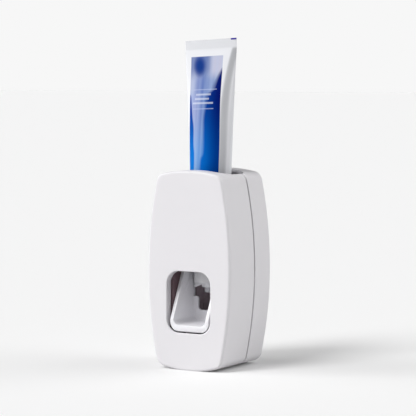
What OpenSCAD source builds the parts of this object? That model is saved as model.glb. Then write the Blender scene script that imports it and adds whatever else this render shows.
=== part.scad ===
// Hands-free toothpaste dispenser with a loaded tube.
// X is across the width, -Y is the front, +Y is the wall side and Z is up.
// The origin lies on the standing surface, below the middle of the body.

/* [Body] */
// Height of the body, without the tube
body_h = 150; // [146:1:160]
// Width of the body at half height
body_w = 70.4; // [68:0.2:76]
// Depth from the front face to the wall face
body_d = 62.8; // [61:0.2:70]
// Width between the corners, where the barrel sides would meet the ends
end_w = 53.6; // [51:0.2:57]
// Rise of the crowned top
top_crown = 3.2; // [2:0.1:4.5]
// Rise of the crowned underside
base_crown = 4.2; // [3:0.1:5]
// Depth of the flat foot cut into the underside
foot_cut = 0.8; // [0.5:0.1:1.2]
// Corner radius of the outline
corner_r = 8; // [7:0.5:10]
// Rounding of the front and back edges
edge_r = 2; // [1:0.25:2.25]
// Wall thickness of both shells
wall = 2.2; // [1.8:0.1:2.6]

/* [Parting line] */
// Depth of the front shell
front_d = 37; // [35:0.5:38]
// Width of the shadow groove between the shells
groove = 1.2; // [0.8:0.1:1.4]
// Reach of the rear shell's tongue past the groove
tongue_reach = 3; // [2:0.5:4]
// Thickness of the tongue
tongue_t = 1.5; // [1.2:0.1:1.8]
// Width of each locating tab
tab_w = 9; // [6:0.5:11]
// Height of the locating tabs above the standing surface
tab_z = 67.5; // [60:0.5:80]
// Reach of the locating tabs past the front shell's edge
tab_reach = 6; // [4:0.5:8]

/* [Window] */
// Width of the brush window
window_w = 37.9; // [37:0.1:42]
// Height of the brush window
window_h = 46.5; // [46:0.1:50]
// Lower edge of the window above the standing surface
window_z = 27.9; // [25:0.1:28]
// Corner radius of the window
window_r = 10; // [8:0.5:11]
// Depth of the inward flange from the front face
flange_d = 6.4; // [4:0.1:8]
// Thickness of the inward flange
flange_t = 1.5; // [1.2:0.1:2]
// Height above the window's lower edge where the flange starts
flange_rise = 5; // [5:0.5:16]

/* [Tube mouth] */
// Width of the opening in the top
mouth_w = 49; // [47:0.5:52]
// Distance of the opening from the front face
mouth_front = 12; // [10:0.5:14]
// Depth of the opening from front to back
mouth_d = 36; // [34:0.5:38]
// Corner radius of the opening
mouth_r = 11; // [8:0.5:13]

/* [Lever] */
// Outer width of the pusher lever
lever_w = 33.2; // [32:0.1:33.6]
// Thickness of its side plates and floor
lever_t = 2.6; // [2:0.1:2.8]
// Gap between the front face and the lever's lip
lip_inset = 1.5; // [1:0.1:2]
// Underside of the lip above the standing surface
lip_z = 28.6; // [28.4:0.1:29.2]
// Height of the lip
lip_h = 5; // [4:0.1:6]
// Depth of the lip from front to back
lip_d = 3.4; // [3:0.1:5]
// Height at which the side plates start to slope back
slope_z = 38; // [36:0.5:42]
// Backward slope of the plates' front edge, in degrees
slope_angle = 25.3; // [22:0.1:28]
// Rear edge of the side plates behind the tube axis
plate_rear = 2.6; // [2:0.1:3]
// Thickness of the brush stop between the plates
stop_t = 2; // [1.6:0.1:2.6]
// Top of the brush stop above the standing surface
stop_z = 42; // [40:0.5:46]
// Top of the two raised ears of the brush stop
stop_ear_z = 52.5; // [50:0.5:54]
// Width of each raised ear
stop_ear_w = 3.7; // [3:0.1:5]
// Radius of the fillets between the stop, the plates and the floor
stop_fillet = 2.4; // [1:0.1:2.6]
// Outer corner radius of the scoop
scoop_r = 7.5; // [6:0.5:9]

/* [Pivot] */
// Pivot height above the standing surface
pivot_z = 77; // [76.5:0.5:78]
// Pivot distance behind the tube axis
pivot_y = 2; // [1:0.25:2.5]
// Radius of the pivot pins
pin_r = 2; // [1.6:0.1:2.4]
// Radius of the lever's pivot boss
boss_r = 5; // [4.5:0.1:5.4]
// Radius of the yoke bar that works the pump
yoke_r = 2; // [1.6:0.1:2.2]
// Height of the yoke bar above the pivot
yoke_rise = 9; // [8:0.5:10]
// Thickness of the frame's pivot cheeks
cheek_t = 2.4; // [2:0.1:3]

/* [Pump] */
// Radius of the pump column
column_r = 11.7; // [11.2:0.1:12.2]
// Underside of the pump column above the standing surface
column_z = 64.4; // [64:0.1:65.4]
// Radius of the collar that holds the tube seat
collar_r = 13; // [12.6:0.1:13.2]
// Radius of the pump chamber
chamber_r = 7; // [6:0.1:7.4]
// Height of the chamber's axis above the pivot
chamber_rise = 10.5; // [9:0.5:11]
// Depth of the chamber
chamber_d = 5; // [4:0.1:5.4]
// Radius of the paste channel
channel_r = 3; // [2:0.1:3.4]
// Radius of the outlet nozzle
nozzle_r = 3.5; // [3:0.1:3.8]
// Length of the nozzle below the pump column
nozzle_l = 8.1; // [7:0.1:8.6]
// Height of the nozzle nut
nut_h = 3.7; // [3.2:0.1:4]
// Reach of the nozzle nut's finger wings from the axis
wing_reach = 12.8; // [11:0.1:13]
// Height of each finger wing at its outer end
wing_h = 4; // [3:0.1:4.4]
// Height of each finger wing at the nut
wing_root_h = 1.6; // [1.2:0.1:2]
// Thickness of the finger wings
wing_t = 2; // [1.6:0.1:2.4]
// Gap between the finger wings and the pump column
wing_gap = 0.8; // [0.5:0.1:1]

/* [Return spring] */
// Wire diameter of the return spring
wire_d = 0.8; // [0.6:0.05:1]
// Mean radius of the spring's coils
spring_r = 6.6; // [6.2:0.1:7]
// Number of coils
spring_turns = 4; // [3:1:5]

/* [Tube] */
// Radius of the round tube sleeve at its shoulder
tube_r = 14.3; // [13.6:0.1:14.6]
// Length of the sleeve from the shoulder to the crimp
sleeve_l = 135.2; // [120:0.2:160]
// Height of the flat crimp
crimp_h = 7.6; // [6:0.2:10]
// Thickness of the crimp
crimp_t = 1.4; // [1:0.1:2]
// Sideways lean of the crimp, in degrees
crimp_lean = 2.4; // [0:0.1:5]
// Sideways offset of the crimp from the tube axis
crimp_shift = 0.9; // [0:0.1:1.5]
// Radius of the tube's neck
neck_r = 6.3; // [5.8:0.1:6.6]

/* [Fixings] */
// Radius of the screw shanks
screw_r = 1.25; // [1:0.05:1.5]
// Radius of the screw heads
head_r = 2.6; // [2.2:0.1:2.9]
// Height of the screw heads
head_h = 1.6; // [1.2:0.1:1.8]
// Thickness of the mechanism frame's plate
frame_t = 2; // [1.6:0.1:2.4]
// Width of each adhesive pad on the back
pad_w = 40; // [30:1:44]
// Height of each adhesive pad on the back
pad_h = 34; // [24:1:40]
// Thickness of the adhesive pads
pad_t = 0.8; // [0.6:0.1:1]

/* [Clearances] */
// Gap between parts that only lie near each other
gap = 0.3; // [0.25:0.05:0.4]
// Radial clearance of pins, shanks and seals in their holes
fit = 0.05; // [0.02:0.01:0.1]

/* [Hidden] */
$fn = 48;
shell_white = [0.93, 0.93, 0.94];
lever_grey = [0.86, 0.86, 0.88];
frame_taupe = [0.33, 0.29, 0.30];
silicone_grey = [0.72, 0.72, 0.74];
steel = [0.70, 0.71, 0.73];
tube_white = [0.90, 0.91, 0.93];

front_y = -body_d / 2;
back_y = body_d / 2;
part_y = front_y + front_d;
rear_y = part_y + groove;
inner_back_y = back_y - wall;

// The outline is four arcs with rounded corners, and an inset keeps their centres.
half_end = end_w / 2;
side_sag = body_w / 2 - half_end;
side_h = body_h + foot_cut;
mid_z = body_h / 2 - foot_cut / 2;
side_r = (pow(side_h / 2, 2) + pow(side_sag, 2)) / (2 * side_sag);
top_r = (pow(half_end, 2) + pow(top_crown, 2)) / (2 * top_crown);
base_r = (pow(half_end, 2) + pow(base_crown, 2)) / (2 * base_crown);
side_c = [body_w / 2 - side_r, mid_z];
top_c = [0, body_h - top_r];
base_c = [0, base_r - foot_cut];

function meet(a, ra, b, rb, side) =
    let (d = norm(b - a), u = (b - a) / d)
    let (along = (ra * ra - rb * rb + d * d) / (2 * d))
    let (off = sqrt(ra * ra - along * along))
    a + u * along + side * off * [-u[1], u[0]];
top_corner = meet(side_c, side_r - corner_r, top_c, top_r - corner_r, 1);
base_corner = meet(side_c, side_r - corner_r, base_c, base_r - corner_r, -1);
function bearing(from, to) = atan2(to[1] - from[1], to[0] - from[0]);
function arc(c, r, from, to, steps) =
    [for (i = [0 : steps - 1]) let (a = from + (to - from) * i / steps) c + r * [cos(a), sin(a)]];
side_low = bearing(side_c, base_corner);
side_high = bearing(side_c, top_corner);
top_side = bearing(top_c, top_corner);
base_side = bearing(base_c, base_corner);
function right_half(inset) = concat(
    arc(base_c, base_r - inset, -90, base_side, 5),
    arc(base_corner, corner_r - inset, base_side, side_low, 7),
    arc(side_c, side_r - inset, side_low, side_high, 14),
    arc(top_corner, corner_r - inset, side_high, top_side, 7),
    arc(top_c, top_r - inset, top_side, 90, 5),
    [top_c + [0, top_r - inset]]
);
function outline(inset) =
    let (half = right_half(inset), n = len(half))
    concat(half, [for (i = [n - 2 : -1 : 1]) [-half[i][0], half[i][1]]]);

// Each ring of a loft is a list of points, and neighbouring rings are joined by triangles.
module loft(rings) {
    n = len(rings[0]);
    last = len(rings) - 1;
    sides = [
        for (k = [0 : last - 1], i = [0 : n - 1], t = [0, 1])
            let (j = (i + 1) % n)
            t == 0
                ? [k * n + i, k * n + j, (k + 1) * n + j]
                : [k * n + i, (k + 1) * n + j, (k + 1) * n + i]
    ];
    first_cap = [[for (i = [n - 1 : -1 : 0]) i]];
    last_cap = [[for (i = [0 : n - 1]) last * n + i]];
    polyhedron([for (r = rings, p = r) p], concat(sides, first_cap, last_cap));
}

// A drawing in X and Z is given a depth from y0 back to y1.
module across(y0, y1) translate([0, y1, 0]) rotate([90, 0, 0]) linear_extrude(y1 - y0) children();

// A drawing in Y and Z is given a width from x0 to x1.
module sideways(x0, x1)
    translate([x0, 0, 0]) rotate([90, 0, 90]) linear_extrude(x1 - x0) children();

module rod_x(x0, x1, y, z, r) translate([x0, y, z]) rotate([0, 90, 0]) cylinder(h = x1 - x0, r = r);
module rod_y(y0, y1, x, z, r) translate([x, y1, z]) rotate([90, 0, 0]) cylinder(h = y1 - y0, r = r);
module rod_z(z0, z1, r) translate([0, 0, z0]) cylinder(h = z1 - z0, r = r);

// A rectangle with round corners, as exact squares and circles.
module round_rect(w, h, r) {
    square([w - 2 * r, h], center = true);
    square([w, h - 2 * r], center = true);
    for (x = [-1, 1], y = [-1, 1]) translate([x * (w / 2 - r), y * (h / 2 - r)]) circle(r);
}

edge_steps = 4;
function edge_inset(k) = edge_r * (1 - sin(90 * k / edge_steps));
function edge_depth(k) = edge_r * (1 - cos(90 * k / edge_steps));
function ring(inset, y) = [for (p = outline(inset)) [p[0], y, p[1]]];

module above_floor() translate([-body_w, -body_d, 0]) cube([2 * body_w, 2 * body_d, 2 * body_h]);

mouth_mid_y = front_y + mouth_front + mouth_d / 2;
module mouth_hole()
    translate([0, mouth_mid_y, body_h / 2])
        linear_extrude(body_h) round_rect(mouth_w, mouth_d, mouth_r);

window_mid_z = window_z + window_h / 2;
module window_outline(grow)
    translate([0, window_mid_z]) round_rect(window_w + 2 * grow, window_h + 2 * grow, window_r + grow);

tab_x = side_c[0] + sqrt(pow(side_r - wall, 2) - pow(tab_z - mid_z, 2));
tab_root = 5;
module locating_tab(side) {
    inner = tab_x - gap - tongue_t;
    outer = tab_x - gap;
    low = tab_z - tab_w / 2;
    translate([side > 0 ? inner : -outer, part_y - tab_root, low])
        cube([tongue_t, tab_root + tab_reach, tab_w]);
    translate([side > 0 ? inner : -tab_x - wall / 2, part_y - tab_root, low])
        cube([tab_x + wall / 2 - inner, tab_root - gap, tab_w]);
}

module front_shell() color(shell_white) intersection() {
    above_floor();
    difference() {
        union() {
            difference() {
                loft(concat(
                    [for (k = [0 : edge_steps]) ring(edge_inset(k), front_y + edge_depth(k))],
                    [ring(0, part_y)]
                ));
                across(front_y + wall, part_y + gap) polygon(outline(wall));
                mouth_hole();
            }
            difference() {
                across(front_y + wall / 2, front_y + flange_d) window_outline(flange_t);
                translate([-window_w, front_y + wall, window_z - window_r])
                    cube([2 * window_w, flange_d, flange_rise + window_r]);
            }
            for (side = [-1, 1]) locating_tab(side);
        }
        across(front_y - gap, front_y + flange_d + gap) window_outline(0);
    }
}

module tongue_solid(y0, y1)
    difference() {
        across(y0, y1) polygon(outline(wall + gap));
        across(y0 - gap, y1 + gap) polygon(outline(wall + gap + tongue_t));
        for (side = [-1, 1]) translate([side * tab_x, y0, tab_z])
            cube([4 * tongue_t, 2 * (y1 - y0), tab_w + 4 * gap], center = true);
    }

tongue_root = 4;
boss_x = 22.6;
boss_low = 26;
boss_high = 108;
boss_wall = 2.2;
frame_y = inner_back_y - 9.2;
frame_back = frame_y + frame_t;
function frame_points() = [for (x = [-boss_x, boss_x], z = [boss_low, boss_high]) [x, z]];
pilot_r = screw_r + fit;

pad_rise = [47, 103];
module pad_blocks(grow)
    for (z = pad_rise) translate([-pad_w / 2 - grow, back_y - pad_t, z - pad_h / 2 - grow])
        cube([pad_w + 2 * grow, pad_t, pad_h + 2 * grow]);

module rear_shell() color(shell_white) intersection() {
    above_floor();
    difference() {
        union() {
            difference() {
                loft(concat(
                    [ring(0, rear_y)],
                    [for (k = [edge_steps : -1 : 0]) ring(edge_inset(k), back_y - edge_depth(k))]
                ));
                across(rear_y - gap, inner_back_y) polygon(outline(wall));
            }
            tongue_solid(part_y - tongue_reach, rear_y + tongue_root);
            difference() {
                across(rear_y + gap, rear_y + tongue_root) polygon(outline(wall / 2));
                across(rear_y, rear_y + 2 * tongue_root) polygon(outline(wall + gap + tongue_t / 2));
                for (side = [-1, 1]) translate([side * tab_x, rear_y, tab_z])
                    cube([4 * tongue_t, 4 * tongue_root, tab_w + 4 * gap], center = true);
            }
            for (p = frame_points())
                rod_y(frame_back, inner_back_y + wall / 2, p[0], p[1], pilot_r + boss_wall);
        }
        mouth_hole();
        for (p = frame_points()) rod_y(frame_back - gap, inner_back_y, p[0], p[1], pilot_r);
        pad_blocks(gap);
    }
}

module adhesive_pads() color(frame_taupe) pad_blocks(0);

// The frame is a plate behind the pump, with two cheeks that carry the lever's pivot.
cheek_in = lever_w / 2 + 0.8;
cheek_out = cheek_in + cheek_t;
plate_half = boss_x + head_r + 1.6;
plate_low = boss_low - head_r - 2;
plate_high = boss_high + head_r + 2;
bay_low = pivot_z - 2.4;
bay_high = boss_high - head_r - 2;
lever_hole_r = pin_r + fit;
cheek_boss_r = pin_r + 2.6;
foot_half = 12.4;
foot_low = column_z - 2.2;
foot_high = bay_low - gap;
foot_t = 2.4;
foot_screw_x = 8.6;
foot_screw_z = (foot_low + foot_high) / 2;
shank_hole_r = screw_r + 0.4;
rib_x = [-10.2, -3.4, 3.4, 10.2];
rib_d = 2;
rib_t = 1.8;
guard_front = front_y + flange_d + 2 * gap;
guard_low = boss_low + head_r + 2;
guard_high = pivot_z + cheek_boss_r + 2.4;

// Each cheek is a guard that closes the space beside the lever from the window's flange to the plate.
module cheek_outline() {
    translate([guard_front, guard_low])
        square([frame_y + frame_t / 2 - guard_front, guard_high - guard_low]);
    polygon([
        [pivot_y, guard_high - frame_t], [frame_y + frame_t / 2, guard_high - frame_t],
        [frame_y + frame_t / 2, pivot_z + 3 * cheek_boss_r], [pivot_y, guard_high]
    ]);
}

module mechanism_frame() color(frame_taupe) difference() {
    union() {
        difference() {
            across(frame_y, frame_back)
                translate([0, (plate_low + plate_high) / 2])
                    round_rect(2 * plate_half, plate_high - plate_low, 6);
            across(frame_y - gap, frame_back + gap)
                translate([0, (bay_low + bay_high) / 2])
                    round_rect(2 * cheek_in, bay_high - bay_low, 4);
        }
        for (side = [-1, 1])
            sideways(side > 0 ? cheek_in : -cheek_out, side > 0 ? cheek_out : -cheek_in) cheek_outline();
        for (x = rib_x)
            across(frame_y - rib_d, frame_y + frame_t / 2)
                translate([x - rib_t / 2, guard_low]) square([rib_t, foot_low - frame_t - guard_low]);
    }
    rod_x(-cheek_out - gap, cheek_out + gap, pivot_y, pivot_z, lever_hole_r);
    for (p = frame_points()) rod_y(frame_y - gap, frame_back + gap, p[0], p[1], shank_hole_r);
    for (side = [-1, 1])
        rod_y(frame_y - gap, frame_back + gap, side * foot_screw_x, foot_screw_z, shank_hole_r);
}

// A pan-head screw along Y, with its cross recess, whose head lies on the side that facing gives.
screw_l = 6.4;
module screw(x, y, z, facing, length)
    translate([x, y, z]) rotate([facing * 90, 0, 0]) difference() {
        union() {
            cylinder(h = head_h, r = head_r);
            translate([0, 0, -length]) cylinder(h = length, r = screw_r);
        }
        for (turn = [0, 90]) rotate([0, 0, turn])
            translate([-head_r * 0.6, -head_r * 0.12, head_h * 0.45])
                cube([head_r * 1.2, head_r * 0.24, head_h]);
    }

module frame_screws() color(steel)
    for (p = frame_points()) screw(p[0], frame_y - fit, p[1], 1, screw_l);

module pump_screws() color(steel)
    for (side = [-1, 1])
        screw(side * foot_screw_x, frame_back + fit, foot_screw_z, -1, frame_t + foot_t - gap);

// The pump column hangs between the lever's plates, with the tube seat on top and the nozzle below.
chamber_z = pivot_z + chamber_rise;
valve_r = neck_r + 0.3;
valve_low = chamber_z + chamber_r - 2.2;
seat_low = valve_low + 3;
seat_h = 5;
seat_top = seat_low + seat_h;
seat_r = valve_r + 4;
chamber_back = collar_r + gap;
chamber_boss_r = chamber_r + 2;
spigot_r = nozzle_r + 1;
spigot_h = 2.2;

module pump_housing() color(lever_grey) difference() {
    union() {
        rod_z(column_z, seat_low, column_r);
        rod_z(seat_low - 1.5, seat_top, collar_r);
        rod_y(0, chamber_back, 0, chamber_z, chamber_boss_r);
        rod_z(column_z - spigot_h, column_z + 1, spigot_r);
        across(frame_y - foot_t, frame_y)
            translate([0, foot_screw_z]) round_rect(2 * foot_half, foot_high - foot_low, 2);
        translate([-5, 0, column_z + 0.6]) cube([10, frame_y - foot_t / 2, foot_high - column_z - 1.2]);
    }
    rod_z(column_z - spigot_h - gap, valve_low + gap, channel_r);
    rod_z(valve_low, seat_low + gap, valve_r);
    rod_z(seat_low, seat_top + gap, seat_r + fit);
    rod_y(chamber_back - chamber_d, chamber_back + gap, 0, chamber_z, chamber_r);
    rod_y(0, chamber_back, 0, chamber_z, channel_r * 0.8);
    for (side = [-1, 1])
        rod_y(frame_y - foot_t - gap, frame_y + gap, side * foot_screw_x, foot_screw_z, pilot_r);
}

module tube_seat() color(silicone_grey) difference() {
    rod_z(seat_low, seat_top - 0.6, seat_r);
    rod_z(seat_low - gap, seat_top + gap, neck_r + fit);
    for (z = [1.2, 2.4, 3.6]) translate([0, 0, seat_low + z])
        rotate_extrude() translate([neck_r + 0.2, 0]) circle(0.35, $fn = 16);
}

retainer_h = 1.2;
module seat_retainer() color(lever_grey) difference() {
    union() {
        rod_z(seat_top, seat_top + retainer_h, collar_r);
        rod_z(seat_top - 0.5, seat_top + retainer_h / 2, seat_r - gap);
    }
    rod_z(seat_top - 1, seat_top + retainer_h + gap, neck_r + 0.8);
    for (turn = [0 : 60 : 300]) rotate([0, 0, turn])
        translate([collar_r - 0.4, -1.2, seat_top + 0.3]) cube([2, 2.4, retainer_h]);
}

module inlet_valve() color(silicone_grey) difference() {
    union() {
        rod_z(valve_low + fit, valve_low + 1, valve_r - 0.1);
        rod_z(valve_low + 0.5, valve_low + 2.2, 1.4);
    }
    for (turn = [0 : 60 : 300]) rotate([0, 0, turn])
        translate([3.6, 0, valve_low - gap]) cylinder(h = 3, r = 0.8);
}

// The diaphragm closes the chamber, and the plunger presses its dome.
film_t = 1;
dome_rise = 1.6;
dome_hollow = 0.8;
dome_step = 1.2;
dome_edge = 0.4;
clamp_t = 2;
stem_r = 4.2;
film_back = chamber_back + film_t;
clamp_back = film_back + clamp_t;
stem_tip = film_back + dome_rise + gap;
yoke_y = inner_back_y - 1.2 - yoke_r;
plunger_back = yoke_y - yoke_r - gap;
plunger_flange_t = 1.6;
plunger_r = chamber_boss_r;

module pump_diaphragm() color(silicone_grey)
    translate([0, chamber_back, chamber_z]) rotate([-90, 0, 0]) rotate_extrude()
        polygon([
            [0, dome_hollow], [stem_r - dome_step, dome_hollow], [stem_r - dome_edge, 0], [chamber_boss_r, 0],
            [chamber_boss_r, film_t], [stem_r + 2 * fit, film_t], [stem_r - dome_edge, film_t + dome_step],
            [stem_r - dome_edge - dome_step / 2, film_t + dome_rise], [0, film_t + dome_rise]
        ]);

module diaphragm_clamp() color(lever_grey) difference() {
    rod_y(film_back, clamp_back, 0, chamber_z, chamber_boss_r);
    rod_y(film_back - gap, clamp_back + gap, 0, chamber_z, stem_r + gap);
}

module plunger() color(lever_grey) {
    rod_y(stem_tip, plunger_back, 0, chamber_z, stem_r);
    rod_y(plunger_back - plunger_flange_t, plunger_back, 0, chamber_z, plunger_r);
}

// The spring is a helix of round wire around the plunger's stem, between the clamp and the flange.
spring_from = clamp_back + gap / 2 + wire_d / 2;
spring_to = plunger_back - plunger_flange_t - gap / 2 - wire_d / 2;
coil_rings = 8;
wire_sides = 6;
helix_steps = spring_turns * coil_rings;
function helix_point(k) =
    let (a = 360 * k / coil_rings, along = (spring_to - spring_from) * k / helix_steps)
    [spring_r * cos(a), spring_from + along, chamber_z + spring_r * sin(a)];
function helix_ring(k) =
    let (a = 360 * k / coil_rings, p = helix_point(k))
    [for (s = [0 : wire_sides - 1])
        let (b = 360 * s / wire_sides, out = wire_d / 2 * cos(b), along = wire_d / 2 * sin(b))
        p + [out * cos(a), along, out * sin(a)]];
least_gap = (spring_to - spring_from) / spring_turns - wire_d;
echo(least_gap_of_spring = least_gap);

module return_spring() color(steel) loft([for (k = [helix_steps : -1 : 0]) helix_ring(k)]);

// The nozzle nut holds the duckbill outlet valve on the pump's spigot.
nut_low = column_z - gap - nut_h;
nut_wall = 1.3;
nut_r = spigot_r + nut_wall;
nut_lip = 0.7;
tip_z = column_z - nozzle_l;
wing_top = column_z - wing_gap;
wing_low = wing_top - wing_h;
wing_root = wing_top - wing_root_h;
wing_flat = 1;
module valve_retainer() color(lever_grey) difference() {
    union() {
        rod_z(nut_low, column_z - gap, nut_r);
        across(-wing_t / 2, wing_t / 2) polygon([
            [-wing_reach, wing_low], [-wing_reach + wing_flat, wing_low], [-nut_r, wing_root],
            [nut_r, wing_root], [wing_reach - wing_flat, wing_low], [wing_reach, wing_low],
            [wing_reach, wing_top], [-wing_reach, wing_top]
        ]);
    }
    rod_z(nut_low + nut_lip, column_z, spigot_r + fit);
    rod_z(nut_low - gap, column_z, nozzle_r + fit);
}

module outlet_valve() color(silicone_grey) difference() {
    union() {
        rod_z(nut_low + nut_lip, column_z - spigot_h - fit, spigot_r - 2 * fit);
        rod_z(tip_z, nut_low + 1, nozzle_r);
    }
    rod_z(tip_z + 2, column_z, channel_r * 0.75);
    translate([-channel_r * 0.6, -0.25, tip_z - gap]) cube([channel_r * 1.2, 0.5, 3]);
}

// The lever is a scoop between two side plates, hung on the pivot, with a yoke bar behind the pump.
lip_y = front_y + lip_inset;
lever_half = lever_w / 2;
scoop_half = lever_half - lever_t;
floor_top = lip_z + lip_h;
floor_z = floor_top - lever_t;
slope_top = pivot_z + 1;
slope_y = lip_y + (slope_top - slope_z) * tan(slope_angle);
yoke_z = pivot_z + yoke_rise;
yoke_end_r = yoke_r + 0.6;
scoop_top = yoke_z + yoke_end_r + 2 * scoop_r;

module scoop_section() difference() {
    translate([0, lip_z + (scoop_top - lip_z) / 2]) round_rect(lever_w, scoop_top - lip_z, scoop_r);
    translate([0, floor_top + (scoop_top - floor_top) / 2 + scoop_r])
        round_rect(2 * scoop_half, scoop_top - floor_top + 2 * scoop_r, scoop_r - lever_t);
}

module plate_outline() {
    lip_round = 1.2;
    translate([lip_y + lip_round, lip_z + lip_round]) circle(lip_round);
    polygon([
        [lip_y + lip_round, lip_z], [lip_y + lip_round, slope_z - 2], [lip_y, slope_z - 2],
        [lip_y, lip_z + lip_round]
    ]);
    polygon([
        [lip_y + lip_round, lip_z], [plate_rear, lip_z], [plate_rear, pivot_z - boss_r - 2],
        [pivot_y + boss_r, pivot_z], [pivot_y, pivot_z + boss_r], [slope_y, slope_top],
        [lip_y, slope_z], [lip_y, slope_z - 2], [lip_y + lip_round, slope_z - 2]
    ]);
    translate([pivot_y, pivot_z]) circle(boss_r);
    arm_outline();
    translate([yoke_y, yoke_z]) circle(yoke_end_r);
}

arm_angle = bearing([pivot_y, pivot_z], [yoke_y, yoke_z]);
arm_l = norm([yoke_y - pivot_y, yoke_z - pivot_z]);
module arm_outline()
    translate([pivot_y, pivot_z]) rotate(arm_angle)
        polygon([[0, -boss_r * 0.9], [arm_l, -yoke_end_r], [arm_l, yoke_end_r], [0, boss_r * 0.9]]);

module ear_outline(side) {
    ear_r = 2.2;
    x0 = scoop_half + lever_t / 2;
    x1 = scoop_half - stop_ear_w;
    scale([side, 1]) {
        translate([x1, stop_z - ear_r]) square([x0 - x1, stop_ear_z - stop_z]);
        translate([x1 + ear_r, stop_z]) square([x0 - x1 - ear_r, stop_ear_z - stop_z]);
        translate([x1 + ear_r, stop_ear_z - ear_r]) circle(ear_r);
        difference() {
            translate([x1 - ear_r, stop_z]) square(ear_r);
            translate([x1 - ear_r, stop_z + ear_r]) circle(ear_r);
        }
    }
}

// The corner between two walls is filled by a square with a round bite.
module fillet_outline(r) difference() {
    translate([-r, -r]) square(r + stop_t / 2);
    translate([-r, -r]) circle(r);
}

stop_y = plate_rear - stop_t;
module stop_fillets() {
    sideways(-scoop_half, scoop_half)
        translate([stop_y, floor_top]) mirror([0, 1]) fillet_outline(stop_fillet);
    for (side = [0, 1]) mirror([side, 0, 0])
        translate([scoop_half, stop_y, floor_top])
            linear_extrude(stop_ear_z - floor_top) fillet_outline(stop_fillet);
}

module pusher_lever() color(lever_grey) difference() {
    union() {
        difference() {
            intersection() {
                across(front_y, back_y) scoop_section();
                sideways(-lever_half, lever_half) plate_outline();
            }
            translate([-lever_w, lip_y + lip_d, lip_z - gap])
                cube([2 * lever_w, body_d, floor_z - lip_z + gap]);
        }
        across(plate_rear - stop_t, plate_rear) {
            translate([-scoop_half - lever_t / 2, floor_top - lever_t / 2])
                square([lever_w - lever_t, stop_z - floor_top + lever_t / 2]);
            for (side = [-1, 1]) ear_outline(side);
        }
        stop_fillets();
        rod_x(-lever_half + lever_t / 2, lever_half - lever_t / 2, yoke_y, yoke_z, yoke_r);
    }
    rod_x(-lever_w, lever_w, pivot_y, pivot_z, lever_hole_r);
}

pin_head = 1.4;
module pivot_pin(side) color(steel) {
    pin_in = scoop_half - 0.6;
    pin_out = cheek_out + fit;
    pin_end = pin_out + pin_head;
    rod_x(side > 0 ? pin_in : -pin_out, side > 0 ? pin_out : -pin_in, pivot_y, pivot_z, pin_r);
    rod_x(side > 0 ? pin_out : -pin_end, side > 0 ? pin_end : -pin_out, pivot_y, pivot_z, pin_r + pin_head);
}
module pivot_pin_left() pivot_pin(-1);
module pivot_pin_right() pivot_pin(1);

// A rubber strip on the rear wall stops the yoke bar.
bumper_h = 7;
module lever_bumper() color(frame_taupe)
    translate([-lever_half, yoke_y + yoke_end_r + gap, yoke_z - bumper_h / 2])
        cube([lever_w, inner_back_y - yoke_y - yoke_end_r - gap, bumper_h]);

// The tube stands on its shoulder, and its round sleeve flattens towards the crimp.
shoulder_low = seat_top + retainer_h + gap;
shoulder_h = 3.2;
sleeve_z = shoulder_low + shoulder_h;
neck_l = 6.4;
sleeve_rings = 14;
tube_sides = 48;
flat_half = PI * tube_r / 2;
function tube_half_w(t) = tube_r + (flat_half - tube_r) * t;
function tube_half_d(t) = crimp_t / 2 + (tube_r - crimp_t / 2) * (1 - pow(t, 1.44));
function tube_ring(t, w, d, z) = [
    for (i = [0 : tube_sides - 1])
        let (a = -360 * i / tube_sides)
        [crimp_shift * t + w * cos(a), d * sin(a), z + w * cos(a) * tan(crimp_lean) * t]
];
module tube_sleeve() color(tube_white) loft(concat(
    [for (k = [0 : sleeve_rings])
        let (t = k / sleeve_rings)
        tube_ring(t, tube_half_w(t), tube_half_d(t), sleeve_z + sleeve_l * t)],
    [tube_ring(1, flat_half, crimp_t / 2, sleeve_z + sleeve_l + crimp_h)]
));

module tube_shoulder() color(tube_white) union() {
    rotate_extrude() polygon([
        [0, shoulder_low - neck_l], [neck_r, shoulder_low - neck_l], [neck_r, shoulder_low],
        [neck_r + 1.4, shoulder_low], [tube_r - 0.4, sleeve_z - 0.8], [tube_r, sleeve_z - 0.4],
        [tube_r, sleeve_z], [0, sleeve_z]
    ]);
}

front_shell();
rear_shell();
mechanism_frame();
frame_screws();
pump_housing();
pump_screws();
tube_seat();
seat_retainer();
inlet_valve();
pump_diaphragm();
diaphragm_clamp();
plunger();
return_spring();
valve_retainer();
outlet_valve();
pusher_lever();
pivot_pin_left();
pivot_pin_right();
lever_bumper();
adhesive_pads();
tube_sleeve();
tube_shoulder();
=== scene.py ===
import math

import bmesh
import bpy
import numpy as np
from mathutils import Matrix, Vector


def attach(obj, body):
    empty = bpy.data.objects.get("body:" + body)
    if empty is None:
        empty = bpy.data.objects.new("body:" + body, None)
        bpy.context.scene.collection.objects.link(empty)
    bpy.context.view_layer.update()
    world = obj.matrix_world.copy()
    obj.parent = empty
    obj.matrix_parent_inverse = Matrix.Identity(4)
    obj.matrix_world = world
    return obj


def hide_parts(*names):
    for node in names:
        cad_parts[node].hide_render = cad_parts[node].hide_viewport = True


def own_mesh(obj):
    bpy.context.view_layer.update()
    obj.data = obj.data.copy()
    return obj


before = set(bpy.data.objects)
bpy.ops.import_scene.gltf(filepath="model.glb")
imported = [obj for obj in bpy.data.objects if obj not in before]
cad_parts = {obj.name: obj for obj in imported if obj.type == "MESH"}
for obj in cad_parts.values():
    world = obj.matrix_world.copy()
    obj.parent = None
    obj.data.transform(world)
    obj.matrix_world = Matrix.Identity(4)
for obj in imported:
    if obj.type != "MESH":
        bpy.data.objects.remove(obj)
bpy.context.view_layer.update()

scene = bpy.context.scene
mm = 0.001

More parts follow.
